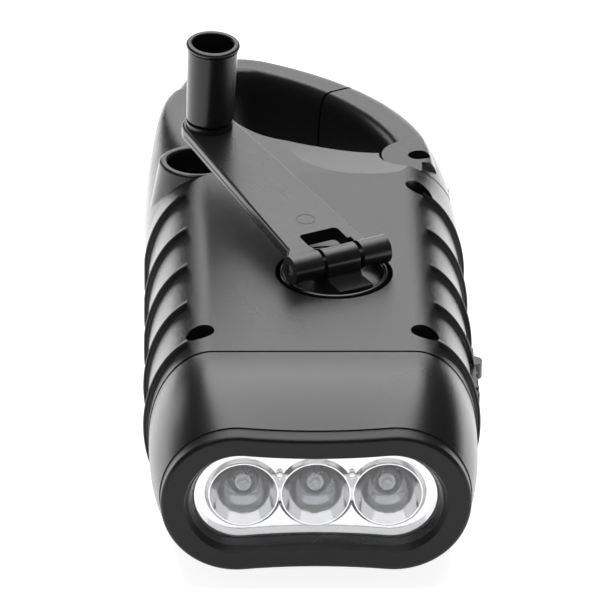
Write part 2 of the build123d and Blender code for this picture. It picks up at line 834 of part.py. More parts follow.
# ================================================================ crank hub
barrel_way = (cos(radians(arm_bearing)), sin(radians(arm_bearing)), 0)
arm_way = (-sin(radians(arm_bearing)), cos(radians(arm_bearing)), 0)


def hub_plane(z):
    """Horizontal plane centred on the hub, with local x along the hinge and local y along the arm."""
    return Plane(origin=(hub_x, hub_y, z), x_dir=barrel_way, z_dir=(0, 0, 1))


disc_low_z = recess_floor_z + hub_gap
gear_top_z = crank_gear_z + gear_face
hinge_z = body_height + hinge_height
tab_foot_z = hub_floor - hub_gap
knuckle_front = -knuckle_radius - hinge_offset
knuckle_rear = knuckle_radius - hinge_offset

with BuildPart() as crank_hub:
    with BuildSketch(hub_plane(disc_low_z)):
        Circle(hub_radius)
    extrude(amount=hub_top - disc_low_z)
    with BuildSketch(hub_plane(hub_floor)):
        Circle(hub_radius - hub_rim)
    extrude(amount=hub_top, mode=Mode.SUBTRACT)
    fillet(crank_hub.edges().group_by(Axis.Z)[-1], hub_rim_round)
    # pedestal and knuckle of the arm's hinge
    with BuildSketch(Plane(origin=(hub_x, hub_y, 0), x_dir=arm_way, z_dir=barrel_way)):
        with BuildLine():
            Polyline((tab_front, tab_foot_z), (knuckle_rear, tab_foot_z), (knuckle_rear, hinge_z))
            ThreePointArc((knuckle_rear, hinge_z), (-hinge_offset, hinge_z + knuckle_radius),
                          (knuckle_front, hinge_z))
            Polyline((knuckle_front, hinge_z), (knuckle_front, tab_top + tab_round),
                     (knuckle_front - tab_round, tab_top), (tab_front, tab_top), (tab_front, tab_foot_z))
        make_face()
    extrude(amount=knuckle_half, both=True)
    with BuildSketch(Plane(origin=(hub_x, hub_y, 0), x_dir=arm_way, z_dir=barrel_way)):
        with Locations((-hinge_offset, hinge_z)):
            Circle(pin_radius)
    extrude(amount=2 * knuckle_half, both=True, mode=Mode.SUBTRACT)
    # shaft, and the flatted end that drives the first gear
    with BuildSketch(hub_plane(gear_top_z)):
        Circle(shaft_radius)
    extrude(amount=disc_low_z - gear_top_z)
    with BuildSketch(hub_plane(crank_gear_z)):
        Circle(drive_radius)
        with Locations((0, drive_flat + drive_radius)):
            Rectangle(2 * drive_radius, 2 * drive_radius, mode=Mode.SUBTRACT)
    extrude(amount=gear_face)
    with BuildSketch(hub_plane(crank_gear_z)):
        Circle(hub_screw_radius)
    extrude(amount=hub_screw_reach, mode=Mode.SUBTRACT)

with BuildPart() as hub_washer:
    with BuildSketch(hub_plane(crank_gear_z - hub_washer_thick)):
        Circle(hub_washer_radius)
        Circle(hub_screw_radius + fit_gap, mode=Mode.SUBTRACT)
    extrude(amount=hub_washer_thick)

with BuildPart() as hub_screw:
    with BuildSketch(hub_plane(crank_gear_z - hub_washer_thick)):
        Circle(head_radius)
    extrude(amount=-head_height)
    with BuildSketch(hub_plane(crank_gear_z - hub_washer_thick)):
        Circle(hub_screw_radius)
    extrude(amount=hub_washer_thick + hub_screw_reach - free_gap)

hinge_point = (hub_x - hinge_offset * arm_way[0], hub_y - hinge_offset * arm_way[1], hinge_z)
rise = radians(arm_rise)
arm_out = (arm_way[0] * cos(rise), arm_way[1] * cos(rise), sin(rise))
arm_up = (-arm_way[0] * sin(rise), -arm_way[1] * sin(rise), cos(rise))
arm_plane = Plane(origin=hinge_point, x_dir=barrel_way, z_dir=arm_up)
hinge_plane = Plane(origin=hinge_point, x_dir=arm_out, z_dir=barrel_way)

with BuildPart() as hinge_pin:
    with BuildSketch(hinge_plane.offset(-barrel_half + pin_inset)):
        Circle(pin_radius)
    extrude(amount=2 * barrel_half - pin_inset - barrel_cap)

# ================================================================ crank arm
arm_up_axis = Axis(hinge_point, arm_up)

with BuildPart() as arm_plate:
    with BuildSketch(arm_plane.offset(plate_low)):
        with BuildLine():
            Polyline((arm_tip_radius, arm_length), (arm_neck_right, 0), (-barrel_half, 0),
                     (-barrel_half, barrel_flare), (arm_neck_left, arm_shoulder),
                     (-arm_tip_radius, arm_length))
            ThreePointArc((-arm_tip_radius, arm_length), (0, arm_length + arm_tip_radius),
                          (arm_tip_radius, arm_length))
        make_face()
    extrude(amount=plate_high - plate_low)
    plate_faces = arm_plate.faces().sort_by(arm_up_axis)
    fillet(plate_faces[0].edges() + plate_faces[-1].edges(), arm_edge_round)

with BuildPart() as crank_arm:
    add(arm_plate.part)
    with BuildSketch(hinge_plane.offset(-barrel_half)):
        Circle(knuckle_radius)
    extrude(amount=2 * barrel_half)
    # room for the hub's knuckle, and the window behind it
    with BuildSketch(arm_plane.offset(-2 * knuckle_radius)):
        with Locations((knuckle_gap_x, 0)):
            Rectangle(2 * knuckle_half + knuckle_play, 2 * (knuckle_radius + free_gap))
    extrude(amount=4 * knuckle_radius, mode=Mode.SUBTRACT)
    with BuildSketch(arm_plane.offset(plate_low)):
        with Locations((window_x, (window_low + window_high) / 2)):
            RectangleRounded(window_width, window_high - window_low, window_round)
    extrude(amount=2 * plate_high, mode=Mode.SUBTRACT)
    with BuildSketch(hinge_plane.offset(-barrel_half)):
        Circle(pin_radius + run_gap)
    extrude(amount=2 * barrel_half - barrel_cap + free_gap, mode=Mode.SUBTRACT)
    # boss and hole of the knob's axle
    with BuildSketch(arm_plane.offset(plate_high)):
        with Locations((0, arm_length)):
            Circle(knob_foot_radius)
    extrude(amount=knob_lift)
    with BuildSketch(arm_plane.offset(plate_low)):
        with Locations((0, arm_length)):
            Circle(axle_radius)
    extrude(amount=2 * (plate_high + knob_lift), mode=Mode.SUBTRACT)

knob_low = plate_high + knob_lift + free_gap
knob_top = knob_low + knob_length
knob_hole = axle_radius + run_gap
flange_low = knob_top - flange_height
axle_seat_height = knob_low + knob_floor + fit_gap
knob_base = arm_plane.from_local_coords((0, arm_length, 0))

with BuildPart() as knob_axle:
    with BuildSketch(arm_plane.offset(plate_low)):
        with Locations((0, arm_length)):
            Circle(axle_radius)
    extrude(amount=axle_seat_height - plate_low)
    with BuildSketch(arm_plane.offset(axle_seat_height)):
        with Locations((0, arm_length)):
            Circle(axle_head_radius)
    extrude(amount=axle_head_height)

# ================================================================ knob
with BuildPart() as knob:
    with BuildSketch(Plane(origin=knob_base, x_dir=barrel_way, z_dir=tuple(-v for v in arm_out))):
        with BuildLine():
            foot = Line((knob_hole, knob_low), (knob_foot_radius - knob_foot_round, knob_low))
            foot_edge = TangentArc(foot @ 1, (knob_foot_radius, knob_low + knob_foot_round), tangent=foot % 1)
            side = Polyline(foot_edge @ 1, (knob_radius, flange_low - flange_step),
                            (knob_neck_radius, flange_low))
            flange = ThreePointArc(side @ 1, (flange_radius, knob_top - flange_height / 2),
                                   (knob_neck_radius, knob_top))
            top = Line(flange @ 1, (knob_bore + mouth_round, knob_top))
            mouth_edge = TangentArc(top @ 1, (knob_bore, knob_top - mouth_round), tangent=top % 1)
            Polyline(mouth_edge @ 1, (knob_bore, knob_low + knob_floor),
                     (knob_hole, knob_low + knob_floor), foot @ 0)
        make_face()
    revolve(axis=Axis(knob_base, arm_up))


# ================================================================ gears
def gear_outline(module, teeth, phase, bore):
    """Spur gear with involute flanks, a tooth centred on the phase angle, and a round bore."""
    pitch_radius = module * teeth / 2
    tip_radius = pitch_radius + module
    root_radius = pitch_radius - 1.25 * module
    base_radius = pitch_radius * cos(radians(pressure_angle))
    pitch_flank = tan(radians(pressure_angle)) - radians(pressure_angle)
    pitch_half = (pi * module / 2 - backlash) / (2 * pitch_radius)

    def half_angle(radius):
        """Half the tooth's angle at a radius, in degrees."""
        lean = acos(min(1, base_radius / radius))
        return degrees(pitch_half + pitch_flank - tan(lean) + lean)

    flank_radii = (root_radius, pitch_radius, tip_radius)
    corners = []
    for i in range(teeth):
        middle = phase + 360 * i / teeth
        rising = [(r, middle - half_angle(r)) for r in flank_radii]
        falling = [(r, middle + half_angle(r)) for r in reversed(flank_radii)]
        corners += [(r * cos(radians(a)), r * sin(radians(a))) for r, a in rising + falling]
    with BuildSketch() as outline:
        with BuildLine():
            Polyline(*corners, close=True)
        make_face()
        Circle(bore, mode=Mode.SUBTRACT)
    return outline.sketch


first_phase = first_bearing + 180 + 180 / first_pinion_teeth
second_phase = second_bearing + 180 + 180 / second_pinion_teeth
rotor_phase = rotor_bearing + 180 + 180 / rotor_teeth
idler_bore = gear_axle_radius + run_gap

with BuildPart() as crank_gear:
    with BuildSketch(plan(crank_gear_z)):
        with Locations(hub_center):
            add(gear_outline(stage_one_module, crank_teeth, first_bearing, drive_radius + fit_gap))
    extrude(amount=gear_face)
    # flat of the D bore
    with BuildSketch(hub_plane(crank_gear_z)):
        Circle(drive_radius + 2 * fit_gap)
        with Locations((0, drive_flat + fit_gap - 2 * drive_radius)):
            Rectangle(4 * drive_radius, 4 * drive_radius, mode=Mode.SUBTRACT)
    extrude(amount=gear_face)

with BuildPart() as first_idler:
    with BuildSketch(plan(first_wheel_z)):
        with Locations(first_spot):
            add(gear_outline(stage_two_module, first_wheel_teeth, second_bearing, idler_bore))
    extrude(amount=gear_face)
    with BuildSketch(plan(first_wheel_z + gear_face)):
        with Locations(first_spot):
            Circle(idler_collar)
            Circle(idler_bore, mode=Mode.SUBTRACT)
    extrude(amount=crank_gear_z - first_wheel_z - gear_face)
    with BuildSketch(plan(crank_gear_z)):
        with Locations(first_spot):
            add(gear_outline(stage_one_module, first_pinion_teeth, first_phase, idler_bore))
    extrude(amount=gear_face)

with BuildPart() as second_idler:
    with BuildSketch(plan(second_wheel_z)):
        with Locations(second_spot):
            add(gear_outline(stage_two_module, second_wheel_teeth, rotor_bearing, idler_bore))
    extrude(amount=gear_face)
    with BuildSketch(plan(second_wheel_z + gear_face)):
        with Locations(second_spot):
            Circle(idler_collar)
            Circle(idler_bore, mode=Mode.SUBTRACT)
    extrude(amount=first_wheel_z - second_wheel_z - gear_face)
    with BuildSketch(plan(first_wheel_z)):
        with Locations(second_spot):
            add(gear_outline(stage_two_module, second_pinion_teeth, second_phase, idler_bore))
    extrude(amount=gear_face)

with BuildPart() as rotor_pinion:
    with BuildSketch(plan(second_wheel_z)):
        with Locations(rotor_spot):
            add(gear_outline(stage_two_module, rotor_teeth, rotor_phase, rotor_axle_radius))
    extrude(amount=gear_face)

with BuildPart() as gear_axles:
    for spot, boss_z in ((first_spot, first_boss_z), (second_spot, second_boss_z)):
        with BuildSketch(plan(plate_z)):
            with Locations(spot):
                Circle(gear_axle_radius)
        extrude(amount=boss_z + axle_seat - plate_z)

with BuildPart() as gear_plate:
    with BuildSketch(plan(plate_z)):
        with Locations(*plate_posts, first_spot, second_spot, rotor_spot):
            Circle(plate_post_radius + axle_wall)
        make_hull()
        with Locations(*plate_posts):
            Circle(peg_radius + run_gap, mode=Mode.SUBTRACT)
    extrude(amount=plate_thick)
    for spot, wheel_z in ((first_spot, first_wheel_z), (second_spot, second_wheel_z)):
        with BuildSketch(plan(plate_top_z)):
            with Locations(spot):
                Circle(gear_axle_radius + axle_wall)
        extrude(amount=wheel_z - free_gap - plate_top_z)
        with BuildSketch(plan(plate_z)):
            with Locations(spot):
                Circle(gear_axle_radius)
        extrude(amount=wheel_z, mode=Mode.SUBTRACT)
    with BuildSketch(plan(plate_z)):
        with Locations(rotor_spot):
            Circle(rotor_axle_radius + run_gap)
    extrude(amount=plate_thick, mode=Mode.SUBTRACT)

# ================================================================ generator
stator_top_z = stator_low_z + stator_height
stator_bore = stator_radius - stator_skin
shaft_foot_z = stator_low_z + fit_gap
magnet_low_z = (stator_low_z + stator_top_z - magnet_height) / 2
claw_thick = bobbin_bore - claw_radius - 2 * fit_gap

with BuildPart() as rotor_shaft:
    with BuildSketch(plan(shaft_foot_z)):
        with Locations(rotor_spot):
            Circle(rotor_axle_radius)
    extrude(amount=rotor_boss_z + axle_seat - free_gap - shaft_foot_z)

with BuildPart() as rotor_magnet:
    with BuildSketch(plan(magnet_low_z)):
        with Locations(rotor_spot):
            Circle(magnet_radius)
            Circle(rotor_axle_radius, mode=Mode.SUBTRACT)
    extrude(amount=magnet_height)

with BuildPart() as stator_cup:
    with BuildSketch(plan(stator_low_z)):
        with Locations(rotor_spot):
            Circle(stator_radius)
    extrude(amount=stator_height)
    with BuildSketch(plan(stator_low_z + stator_skin)):
        with Locations(rotor_spot):
            Circle(stator_bore)
    extrude(amount=stator_height, mode=Mode.SUBTRACT)
    with BuildSketch(plan(stator_low_z)):
        with Locations(rotor_spot):
            Circle(rotor_axle_radius + run_gap)
    extrude(amount=stator_height, mode=Mode.SUBTRACT)
    with BuildSketch(plan(stator_low_z + stator_skin)):
        with Locations(rotor_spot):
            with PolarLocations(claw_radius, claw_count):
                Rectangle(claw_thick, claw_width, align=(Align.MIN, Align.CENTER))
    extrude(amount=claw_height)

with BuildPart() as stator_cover:
    with BuildSketch(plan(stator_top_z - stator_skin)):
        with Locations(rotor_spot):
            Circle(stator_bore - fit_gap)
            Circle(claw_radius - fit_gap, mode=Mode.SUBTRACT)
    extrude(amount=stator_skin)
    with BuildSketch(plan(stator_top_z - stator_skin)):
        with Locations(rotor_spot):
            with PolarLocations(claw_radius, claw_count, start_angle=180 / claw_count):
                Rectangle(claw_thick, claw_width, align=(Align.MIN, Align.CENTER))
    extrude(amount=-claw_height)

bobbin_low_z = stator_low_z + stator_skin + fit_gap
bobbin_top_z = stator_top_z - stator_skin - fit_gap

with BuildPart() as coil_bobbin:
    with BuildSketch(plan(bobbin_low_z)):
        with Locations(rotor_spot):
            Circle(stator_bore - fit_gap)
            Circle(bobbin_bore, mode=Mode.SUBTRACT)
    extrude(amount=bobbin_top_z - bobbin_low_z)
    with BuildSketch(plan(bobbin_low_z + bobbin_skin)):
        with Locations(rotor_spot):
            Circle(stator_radius)
            Circle(bobbin_bore + bobbin_skin, mode=Mode.SUBTRACT)
    extrude(amount=bobbin_top_z - bobbin_low_z - 2 * bobbin_skin, mode=Mode.SUBTRACT)

with BuildPart() as stator_coil:
    with BuildSketch(plan(bobbin_low_z + bobbin_skin)):
        with Locations(rotor_spot):
            Circle(coil_radius)
            Circle(bobbin_bore + bobbin_skin, mode=Mode.SUBTRACT)
    extrude(amount=bobbin_top_z - bobbin_low_z - 2 * bobbin_skin)

# ================================================================ battery, circuit board and switch
cell_pitch = cell_thick + cell_gap
stack_half = (cell_count * cell_pitch - cell_gap) / 2
cell_z = wall + cell_radius + free_gap
cell_xs = [battery_x - stack_half + cell_pitch * i for i in range(cell_count)]

with BuildPart() as battery_cells:
    for x in cell_xs:
        with BuildSketch(Plane(origin=(x, battery_y, cell_z), x_dir=(0, 1, 0), z_dir=(1, 0, 0))):
            Circle(cell_radius)
        extrude(amount=cell_thick)

with BuildPart() as battery_holder:
    with BuildSketch(plan(wall)):
        with Locations((battery_x, battery_y)):
            Rectangle(2 * (stack_half + fit_gap + holder_wall), 2 * (cell_radius + holder_wall))
    extrude(amount=holder_top_z - wall)
    with BuildSketch(Plane(origin=(battery_x, battery_y, cell_z), x_dir=(0, 1, 0), z_dir=(1, 0, 0))):
        Circle(cell_radius + fit_gap)
    extrude(amount=stack_half + fit_gap, both=True, mode=Mode.SUBTRACT)

with BuildPart() as circuit_board:
    with BuildSketch(Plane.YZ.offset(board_x)):
        with Locations(((board_front_y + board_rear_y) / 2, (board_low_z + board_high_z) / 2)):
            Rectangle(board_rear_y - board_front_y, board_high_z - board_low_z)
    extrude(amount=board_thick)

switch_x = board_x + board_thick
stem_x = switch_x + switch_depth / 2

with BuildPart() as switch_body:
    with BuildSketch(Plane.YZ.offset(switch_x)):
        with Locations((switch_mid_y, switch_z)):
            Rectangle(switch_length, switch_height)
    extrude(amount=switch_depth)
    with BuildSketch(Plane.YZ.offset(stem_x)):
        with Locations((switch_mid_y, switch_z)):
            Rectangle(stem_slot_length, stem_slot_height)
    extrude(amount=switch_depth, mode=Mode.SUBTRACT)

with BuildPart() as switch_slider:
    with BuildSketch(Plane.YZ.offset(pad_x)):
        with Locations((switch_y, switch_z)):
            RectangleRounded(pad_length, pad_height, pad_round)
    extrude(amount=pad_thick)
    with BuildSketch(Plane.YZ.offset(pad_x + pad_thick)):
        with Locations(*[(ridge_front_y + ridge_pitch * i, switch_z) for i in range(ridge_count)]):
            Rectangle(ridge_width, ridge_height)
    extrude(amount=pad_rise)
    with BuildSketch(plan(switch_z - ridge_height / 2)):
        with Locations((pad_x + pad_thick, lump_y)):
            Circle(lump_radius)
            with Locations((-lump_radius, 0)):
                Rectangle(2 * lump_radius, 2 * lump_radius, mode=Mode.SUBTRACT)
    extrude(amount=ridge_height)
    with BuildSketch(Plane.YZ.offset(stem_x + free_gap)):
        with Locations((switch_y, switch_z)):
            Rectangle(stem_length, stem_height)
    extrude(amount=pad_x - stem_x - free_gap)

# ================================================================ pieces
pieces = {
    "top_housing": top_housing,
    "bottom_housing": bottom_housing,
    "front_cap": front_cap,
    "bezel_ring": bezel_ring,
    "lens_window": lens_window,
    "reflector": reflector,
    "leds": leds,
    "led_board": led_board,
    "led_board_screws": led_board_screws,
    "circuit_board": circuit_board,
    "switch_body": switch_body,
    "switch_slider": switch_slider,
    "battery_cells": battery_cells,
    "battery_holder": battery_holder,
    "gear_plate": gear_plate,
    "gear_axles": gear_axles,
    "crank_gear": crank_gear,
    "first_idler": first_idler,
    "second_idler": second_idler,
    "rotor_pinion": rotor_pinion,
    "rotor_shaft": rotor_shaft,
    "rotor_magnet": rotor_magnet,
    "stator_cup": stator_cup,
    "stator_cover": stator_cover,
    "coil_bobbin": coil_bobbin,
    "stator_coil": stator_coil,
    "housing_screws": housing_screws,
    "crank_hub": crank_hub,
    "hub_washer": hub_washer,
    "hub_screw": hub_screw,
    "hinge_pin": hinge_pin,
    "crank_arm": crank_arm,
    "knob_axle": knob_axle,
    "knob": knob,
    "gate": gate,
    "gate_screw": gate_screw,
    "gate_spring": gate_spring,
}
for name, piece in pieces.items():
    piece.part.label = name
    export_step(piece.part, f"parts/{name}.step")
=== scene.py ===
import bpy
import bmesh
import json
from math import acos, atan2, cos, degrees, hypot, pi, sin, tanh
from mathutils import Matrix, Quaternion, Vector


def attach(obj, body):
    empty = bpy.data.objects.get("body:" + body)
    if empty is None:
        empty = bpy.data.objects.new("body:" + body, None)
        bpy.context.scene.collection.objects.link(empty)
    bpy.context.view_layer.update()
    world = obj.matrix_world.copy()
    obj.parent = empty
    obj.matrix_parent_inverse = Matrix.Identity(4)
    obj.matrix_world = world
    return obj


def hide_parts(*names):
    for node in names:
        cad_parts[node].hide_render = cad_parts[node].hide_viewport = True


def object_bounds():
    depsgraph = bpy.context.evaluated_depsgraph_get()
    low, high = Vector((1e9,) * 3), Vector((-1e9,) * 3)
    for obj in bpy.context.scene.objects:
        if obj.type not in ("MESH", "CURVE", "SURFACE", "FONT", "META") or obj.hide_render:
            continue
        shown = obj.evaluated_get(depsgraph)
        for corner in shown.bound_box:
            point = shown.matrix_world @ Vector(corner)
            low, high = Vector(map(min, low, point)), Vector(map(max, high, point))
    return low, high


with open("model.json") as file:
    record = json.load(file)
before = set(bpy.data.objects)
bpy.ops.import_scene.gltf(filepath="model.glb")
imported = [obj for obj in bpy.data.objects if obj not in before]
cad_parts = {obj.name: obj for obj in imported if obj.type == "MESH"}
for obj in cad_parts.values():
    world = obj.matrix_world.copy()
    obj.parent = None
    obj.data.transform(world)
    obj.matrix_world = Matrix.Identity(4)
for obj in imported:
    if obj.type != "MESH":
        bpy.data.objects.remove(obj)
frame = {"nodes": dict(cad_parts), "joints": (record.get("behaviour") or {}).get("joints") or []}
nodes = frame["nodes"]
joints = {joint["name"]: joint for joint in frame["joints"]}
cad_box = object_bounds()

MM = 0.001


def add_object(name, data):
    """A new object in the scene."""
    thing = bpy.data.objects.new(name, data)
    bpy.context.scene.collection.objects.link(thing)
    return thing


# ---------------------------------------------------------------- camera
IMAGE_SIDE = 600           # pixels of the photograph
FOCAL_PIXELS = 5329.1
SENSOR = 36.0              # millimetres
TARGET = Vector((-3.04, -50.0, 52.628)) * MM
DISTANCE = 868.13 * MM
AZIMUTH = 0.03037          # radians from +Y towards +X
ELEVATION = 0.47465        # radians that the camera looks down
ROLL = 0.01343             # radians about its line of sight
CLIP_START = 0.01          # metres


def add_camera():
    """The camera at the photograph's angle and distance."""
    data = bpy.data.cameras.new("camera")
    data.sensor_width = SENSOR
    data.lens = FOCAL_PIXELS / IMAGE_SIDE * SENSOR
    data.clip_start = CLIP_START
    camera = add_object("camera", data)
    way = Vector((sin(AZIMUTH) * cos(ELEVATION), cos(AZIMUTH) * cos(ELEVATION), -sin(ELEVATION)))
    camera.location = TARGET - way * DISTANCE
    turn = way.to_track_quat("-Z", "Y") @ Quaternion((0, 0, 1), ROLL)
    camera.rotation_euler = turn.to_euler()
    bpy.context.scene.camera = camera


# ---------------------------------------------------------------- shader helpers
def new_material(name, color, roughness, metallic=0.0, specular=0.5):
    """A node material with plain values on the shader's own sockets."""
    material = bpy.data.materials.new(name)
    material.use_nodes = True
    shader = material.node_tree.nodes["Principled BSDF"]
    shader.inputs["Base Color"].default_value = (*color, 1)
    shader.inputs["Roughness"].default_value = roughness
    shader.inputs["Metallic"].default_value = metallic
    shader.inputs["Specular IOR Level"].default_value = specular
    return material, material.node_tree, shader


def combined(tree, operation, one, two):
    """Two values put through one operation of the Math node."""
    node = tree.nodes.new("ShaderNodeMath")
    node.operation = operation
    tree.links.new(one, node.inputs[0])
    tree.links.new(two, node.inputs[1])
    return node.outputs[0]


def mapped(tree, value, low, high, start=0.0, end=1.0):
    """The value from start to end brought to low to high."""
    span = tree.nodes.new("ShaderNodeMapRange")
    span.inputs["From Min"].default_value = start
    span.inputs["From Max"].default_value = end
    span.inputs["To Min"].default_value = low
    span.inputs["To Max"].default_value = high
    tree.links.new(value, span.inputs["Value"])
    return span.outputs["Result"]


def ray_kind(tree, *kinds):
    """A value that is 1 for the named kinds of ray, and 0 for all others."""
    path = tree.nodes.new("ShaderNodeLightPath")
    value = path.outputs[kinds[0]]
    for kind in kinds[1:]:
        value = combined(tree, "MAXIMUM", value, path.outputs[kind])
    return value


def object_noise(tree, scale, detail=2.0, roughness=0.5):
    """Noise in the object's own coordinates, scale in cycles per metre."""
    place = tree.nodes.new("ShaderNodeTexCoord")
    noise = tree.nodes.new("ShaderNodeTexNoise")
    noise.inputs["Scale"].default_value = scale
    noise.inputs["Detail"].default_value = detail
    noise.inputs["Roughness"].default_value = roughness
    tree.links.new(place.outputs["Object"], noise.inputs["Vector"])
    return noise.outputs["Fac"]


def add_bump(tree, shader, height, distance):
    """Bump from a height value, distance in metres."""
    bump = tree.nodes.new("ShaderNodeBump")
    bump.inputs["Distance"].default_value = distance
    bump.inputs["Strength"].default_value = 1.0
    tree.links.new(height, bump.inputs["Height"])
    tree.links.new(bump.outputs["Normal"], shader.inputs["Normal"])


# ---------------------------------------------------------------- light and floor, in metres
FLOOR_REACH = 4.0          # from the middle to each side
FLOOR_DROP = 0.1 * MM      # how far the floor lies below the object
GLOSS_NEAR_Y = -0.04       # the floor's glow in gloss changes from near to far between these two
GLOSS_FAR_Y = 0.06


def add_softbox(name, place, look_at, width, height, watts):
    """A rectangular area lamp at a place, turned towards a point."""
    data = bpy.data.lights.new(name, "AREA")
    data.shape = "RECTANGLE"
    data.size = width
    data.size_y = height
    data.energy = watts
    lamp = add_object(name, data)
    lamp.location = Vector(place)
    lamp.rotation_euler = (Vector(look_at) - Vector(place)).to_track_quat("-Z", "Y").to_euler()


def set_world(dim, fill):
    """A dim studio with a soft fill, white only where the camera sees it, also through the window."""
    world = bpy.data.worlds.new("studio")
    bpy.context.scene.world = world
    world.use_nodes = True
    tree = world.node_tree
    background = tree.nodes["Background"]
    background.inputs["Color"].default_value = (1, 1, 1, 1)
    filled = mapped(tree, ray_kind(tree, "Is Diffuse Ray"), dim, fill)
    seen = ray_kind(tree, "Is Camera Ray", "Is Transmission Ray")
    tree.links.new(combined(tree, "MAXIMUM", seen, filled), background.inputs["Strength"])


def add_floor(glow, near, far):
    """A floor of plain grey that glows white and keeps the object's shadow, brighter in gloss behind it."""
    reach = FLOOR_REACH
    mesh = bpy.data.meshes.new("floor")
    corners = [(-reach, -reach, 0), (reach, -reach, 0), (reach, reach, 0), (-reach, reach, 0)]
    mesh.from_pydata(corners, [], [(0, 1, 2, 3)])
    floor = add_object("floor", mesh)
    floor.location.z = cad_box[0][2] - FLOOR_DROP
    material, tree, shader = new_material("floor_white", (0.5, 0.5, 0.5), 0.9, specular=0.0)
    shader.inputs["Emission Color"].default_value = (1, 1, 1, 1)
    seen = mapped(tree, ray_kind(tree, "Is Camera Ray", "Is Transmission Ray"), 0.0, glow)
    place = tree.nodes.new("ShaderNodeTexCoord")
    split = tree.nodes.new("ShaderNodeSeparateXYZ")
    tree.links.new(place.outputs["Object"], split.inputs["Vector"])
    depth = mapped(tree, split.outputs["Y"], near, far, GLOSS_NEAR_Y, GLOSS_FAR_Y)
    shine = combined(tree, "MULTIPLY", ray_kind(tree, "Is Glossy Ray"), depth)
    tree.links.new(combined(tree, "MAXIMUM", seen, shine), shader.inputs["Emission Strength"])
    mesh.materials.append(material)


# ---------------------------------------------------------------- materials
GLOSS_PATCHES = 60.0       # cycles per metre of the plastic's slow change of gloss
GLOSS_SPREAD = 0.05        # how far that moves the roughness either way
TONE_LOW = 0.75            # the grain's darkest and lightest tone, as shares of the colour
TONE_HIGH = 1.3
TURNING_MARKS = 2500.0     # cycles per metre
METAL_POLISH = 0.06        # how far the marks lower and raise a metal's roughness
METAL_DULLING = 0.08
FINE_DEPTH = 0.00002       # metres of bump
RIPPLE_DEPTH = 0.00003
ACRYLIC_IOR = 1.49
EPOXY_IOR = 1.53


def moulded_plastic(name, color, roughness, grain, depth=FINE_DEPTH, specular=0.5):
    """Spark-eroded plastic: a fine even grain with slight changes of gloss and tone."""
    material, tree, shader = new_material(name, color, roughness, specular=specular)
    fine = object_noise(tree, grain, detail=3.0, roughness=0.6)
    add_bump(tree, shader, fine, depth)
    broad = object_noise(tree, GLOSS_PATCHES, detail=3.0)
    gloss = mapped(tree, broad, roughness - GLOSS_SPREAD, roughness + GLOSS_SPREAD)
    tree.links.new(gloss, shader.inputs["Roughness"])
    tone = tree.nodes.new("ShaderNodeMix")
    tone.data_type = "RGBA"
    tone.inputs["A"].default_value = (*[share * TONE_LOW for share in color], 1)
    tone.inputs["B"].default_value = (*[share * TONE_HIGH for share in color], 1)
    tree.links.new(fine, tone.inputs["Factor"])
    tree.links.new(tone.outputs["Result"], shader.inputs["Base Color"])
    return material


def machined_metal(name, color, roughness):
    """Metal with fine turning marks."""
    material, tree, shader = new_material(name, color, roughness, metallic=1.0)
    fine = object_noise(tree, TURNING_MARKS)
    add_bump(tree, shader, fine, FINE_DEPTH)
    gloss = mapped(tree, fine, roughness - METAL_POLISH, roughness + METAL_DULLING)
    tree.links.new(gloss, shader.inputs["Roughness"])
    return material


def clear_plastic(name):
    """The clear window in front of the cups."""
    material, tree, shader = new_material(name, (1.0, 1.0, 1.0), 0.02)
    shader.inputs["Transmission Weight"].default_value = 1.0
    shader.inputs["IOR"].default_value = ACRYLIC_IOR
    haze = object_noise(tree, scale=500.0)
    tree.links.new(mapped(tree, haze, low=0.0, high=0.04), shader.inputs["Roughness"])
    return material


def chromed_plastic(name):
    """Vacuum-metallised reflector."""
    material, tree, shader = new_material(name, (0.76, 0.76, 0.77), 0.06, metallic=1.0)
    ripple = object_noise(tree, scale=350.0)
    add_bump(tree, shader, ripple, RIPPLE_DEPTH)
    tree.links.new(mapped(tree, ripple, low=0.03, high=0.12), shader.inputs["Roughness"])
    return material


def shade_tinted_resin(name):
    """Clear lamp resin with faint streaks, tinted grey as painted shade that darkens the cups, to bring
    them nearer the photograph.
    """
    # the grey tint is painted shade: it darkens the chrome cups seen through the resin
    material, tree, shader = new_material(name, (0.42, 0.43, 0.45), 0.03)
    shader.inputs["Transmission Weight"].default_value = 1.0
    shader.inputs["IOR"].default_value = EPOXY_IOR
    streaks = object_noise(tree, scale=700.0)
    add_bump(tree, shader, streaks, FINE_DEPTH)
    tree.links.new(mapped(tree, streaks, low=0.0, high=0.08), shader.inputs["Roughness"])
    return material


# moulded_plastic takes a name, a colour, the roughness, the grain in cycles per metre and its depth
SHELL = moulded_plastic("black_shell", (0.012, 0.012, 0.0125), 0.26, 4200.0, 0.00003)
SMOOTH = moulded_plastic("black_smooth", (0.010, 0.010, 0.0105), 0.22, 2500.0)
ARM_BLACK = moulded_plastic("arm_black", (0.012, 0.012, 0.0125), 0.27, 3000.0)
KNOB_BLACK = moulded_plastic("knob_black", (0.010, 0.010, 0.011), 0.26, 3000.0, specular=0.4)
BEZEL_BLACK = moulded_plastic("bezel_black", (0.008, 0.008, 0.0085), 0.36, 4200.0, 0.00004, specular=0.3)
STEEL = machined_metal("steel", (0.62, 0.62, 0.64), 0.25)
CLEAR = clear_plastic("clear_plastic")
CHROME = chromed_plastic("chrome")
SHADE_TINTED_RESIN = shade_tinted_resin("led_resin")
BOARD = moulded_plastic("board", (0.02, 0.14, 0.05), 0.35, 700.0)
LAMP_BOARD = moulded_plastic("lamp_board", (0.012, 0.04, 0.02), 0.35, 700.0)
ACETAL = moulded_plastic("acetal", (0.72, 0.72, 0.68), 0.45, 1500.0)
FERRITE = moulded_plastic("ferrite", (0.06, 0.06, 0.065), 0.5, 1500.0, 0.00004)
COPPER = machined_metal("copper", (0.72, 0.33, 0.16), 0.35)
NICKEL = machined_metal("nickel", (0.70, 0.69, 0.66), 0.3)

